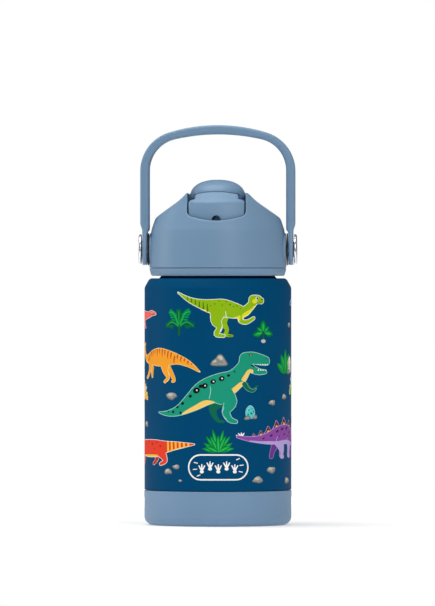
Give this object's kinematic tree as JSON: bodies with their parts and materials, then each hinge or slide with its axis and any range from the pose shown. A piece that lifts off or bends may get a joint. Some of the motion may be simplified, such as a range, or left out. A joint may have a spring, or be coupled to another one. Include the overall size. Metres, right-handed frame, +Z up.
{
  "type": "kids water bottle",
  "caption": "Round steel drinking flask with a soft base boot, screw lid, flip-up straw spout and a swinging bail handle.",
  "frame": {"origin": "centre of the boot's foot, on the surface that the bottle stands on", "axes": "+Z up along the bottle's axis, -Y towards the spout's drinking end, +X along the handle's pivot line"},
  "size_m": [0.0786, 0.0732, 0.1987],
  "materials": {
    "flask_coat": "satin",
    "flask_steel": "brushed",
    "boot_silicone": "matte",
    "lid_plastic": "satin",
    "seal_silicone": "matte",
    "straw_plastic": "translucent",
    "pivot_steel": "polished",
    "washer_rubber": "matte",
    "insert_brass": "satin"
  },
  "bodies": {
    "bottle": {"outer_shell": "flask_coat", "inner_flask": "flask_steel", "base_plate": "flask_steel", "vacuum_seal_bead": "flask_steel", "getter_cup": "flask_steel", "silicone_boot": "boot_silicone"},
    "rim_gasket": {"lid_seal_ring": "seal_silicone"},
    "straw_set": {"straw_connector": "seal_silicone", "straw": "straw_plastic"},
    "lid": {"lid_cover": "lid_plastic", "lid_base": "lid_plastic", "port_seal": "seal_silicone", "vent_valve": "seal_silicone", "spout_pin_left": "pivot_steel", "spout_pin_right": "pivot_steel", "pivot_washer_left": "washer_rubber", "pivot_washer_right": "washer_rubber", "pivot_screw_left": "pivot_steel", "pivot_screw_right": "pivot_steel", "pivot_insert_left": "insert_brass", "pivot_insert_right": "insert_brass"},
    "spout": {"spout_body": "lid_plastic", "spout_hood": "lid_plastic"},
    "handle": {"carry_handle": "lid_plastic"}
  },
  "joints": [
    {"name": "lid_lift", "type": "slide", "parent": "bottle", "child": "rim_gasket", "axis": [0, 0, 1], "range_m": [0, 0.14]},
    {"name": "lid_rise", "type": "slide", "parent": "rim_gasket", "child": "straw_set", "axis": [0, 0, 1], "range_m": [0, 0.0046]},
    {"name": "lid_twist", "type": "hinge", "parent": "straw_set", "child": "lid", "pos_m": [0, 0, 0.1275], "axis": [0, 0, 1], "range_deg": [0, 540]},
    {"name": "spout_flip", "type": "hinge", "parent": "lid", "child": "spout", "pos_m": [0, 0, 0.1515], "axis": [-1, 0, 0], "range_deg": [0, 90]},
    {"name": "handle_swing", "type": "hinge", "parent": "lid", "child": "handle", "pos_m": [0, 0, 0.137], "axis": [1, 0, 0], "range_deg": [-120, 120]}
  ],
  "couplings": [
    {"joint": "lid_rise", "follows": "lid_twist", "m_per_rad": 0.00047746}
  ]
}
